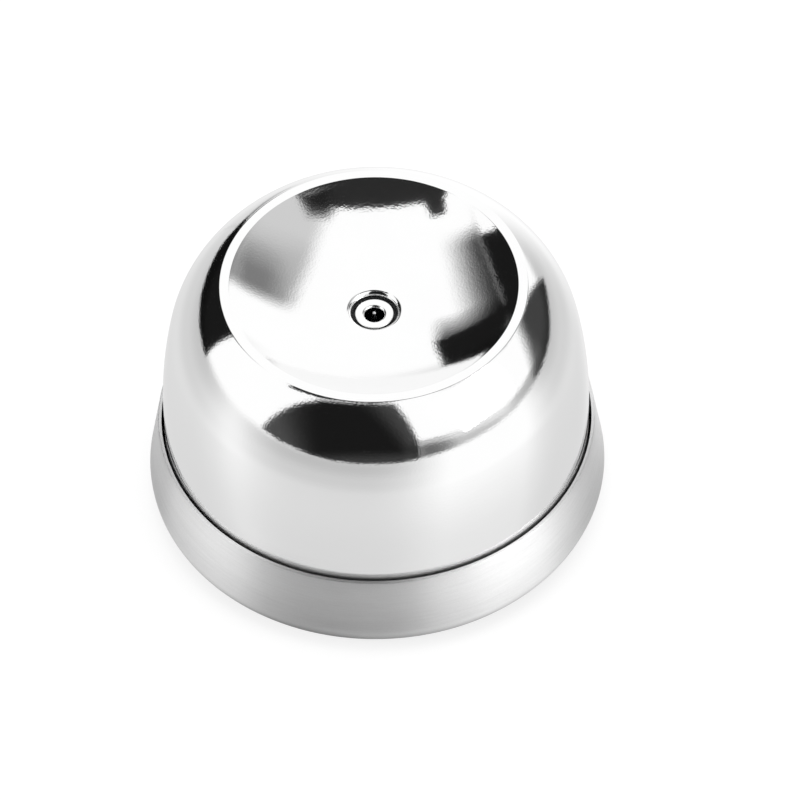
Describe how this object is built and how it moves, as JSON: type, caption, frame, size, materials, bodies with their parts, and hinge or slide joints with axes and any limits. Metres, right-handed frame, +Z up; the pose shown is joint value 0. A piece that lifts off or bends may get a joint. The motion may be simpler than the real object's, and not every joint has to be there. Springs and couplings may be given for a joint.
{
  "type": "egg piercer",
  "caption": "Low domed egg piercer in polished steel: a dished top presses down inside a brushed base ring so that a fixed needle comes up through the centre bush.",
  "frame": {"origin": "centre of the foot pad's underside, on the surface that the piercer stands on", "axes": "+Z up along the needle, the common axis of the dome, the spring and the base; the dome moves along -Z when it is pressed"},
  "size_m": [0.054, 0.054, 0.034],
  "materials": {
    "polished_steel": "mirror polished",
    "brushed_steel": "brushed round the ring",
    "bush_steel": "polished",
    "needle_steel": "ground",
    "spring_steel": "drawn wire",
    "black_plastic": "moulded, fine grain",
    "magnet_nickel": "nickel plated",
    "pad_foam": "closed foam, matt"
  },
  "bodies": {
    "base": {"base_ring": "brushed_steel", "bottom_plate": "black_plastic", "foot_pad": "pad_foam", "magnet_1": "magnet_nickel", "magnet_2": "magnet_nickel", "magnet_3": "magnet_nickel", "needle_carrier": "black_plastic", "needle": "needle_steel", "return_spring": "spring_steel"},
    "presser": {"dome_shell": "polished_steel", "dome_insert": "black_plastic", "guide_bush": "bush_steel"}
  },
  "joints": [
    {"name": "dome_press", "type": "slide", "parent": "base", "child": "presser", "axis": [0, 0, -1], "range_m": [0, 0.0038], "stiffness_N_per_m": 410, "springref_m": -0.0085, "deforming": ["return_spring"]}
  ]
}
